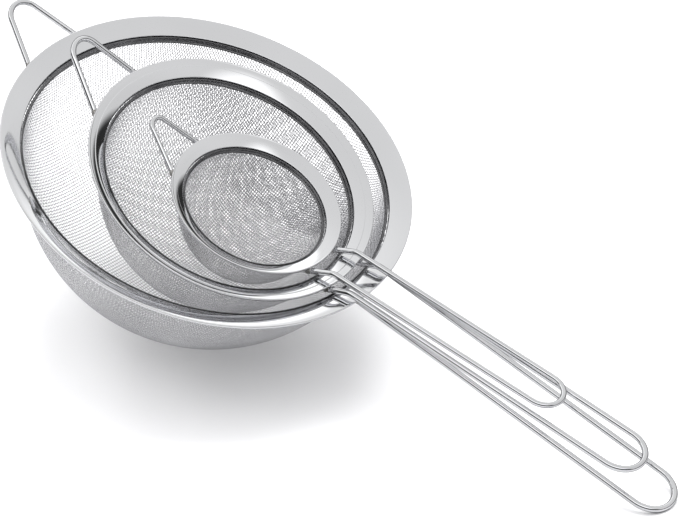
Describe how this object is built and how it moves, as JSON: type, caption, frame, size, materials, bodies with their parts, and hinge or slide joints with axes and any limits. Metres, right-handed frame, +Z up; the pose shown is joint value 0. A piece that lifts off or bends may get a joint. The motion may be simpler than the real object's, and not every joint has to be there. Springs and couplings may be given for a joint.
{
  "type": "fine-mesh strainer set",
  "caption": "Nested set of round fine-mesh strainers: woven bowls in wide polished rims, each with a long wire handle loop and a wire rest hook opposite.",
  "frame": {"origin": "centre of the bounding box on the table the set lies on", "axes": "+X towards the handle tips, +Z up; the large rim leans down towards +X"},
  "size_m": [0.3785, 0.1994, 0.1351],
  "materials": {
    "polished_steel": "mirror polished stainless sheet",
    "steel_mesh": "woven stainless wire",
    "steel_wire": "polished round stainless wire",
    "clamp_steel": "satin stainless strip",
    "weld_metal": "dull weld bead"
  },
  "bodies": {
    "large": {"large_rim_flange": "polished_steel", "large_mesh_bowl": "steel_mesh", "large_clamp_ring": "clamp_steel", "large_handle_wire": "steel_wire", "large_rest_hook": "steel_wire", "large_handle_welds": "weld_metal", "large_hook_welds": "weld_metal"},
    "medium": {"medium_rim_flange": "polished_steel", "medium_mesh_bowl": "steel_mesh", "medium_clamp_ring": "clamp_steel", "medium_handle_wire": "steel_wire", "medium_rest_hook": "steel_wire", "medium_handle_welds": "weld_metal", "medium_hook_welds": "weld_metal"},
    "small": {"small_rim_flange": "polished_steel", "small_mesh_bowl": "steel_mesh", "small_clamp_ring": "clamp_steel", "small_handle_wire": "steel_wire", "small_rest_hook": "steel_wire", "small_handle_welds": "weld_metal", "small_hook_welds": "weld_metal"}
  },
  "joints": [
    {"name": "medium_lift_out", "type": "slide", "parent": "large", "child": "medium", "axis": [0.267, -0.0767, 0.9606], "range_m": [0, 0.12]},
    {"name": "small_lift_out", "type": "slide", "parent": "medium", "child": "small", "axis": [0.3861, -0.0761, 0.9193], "range_m": [0, 0.08]}
  ]
}
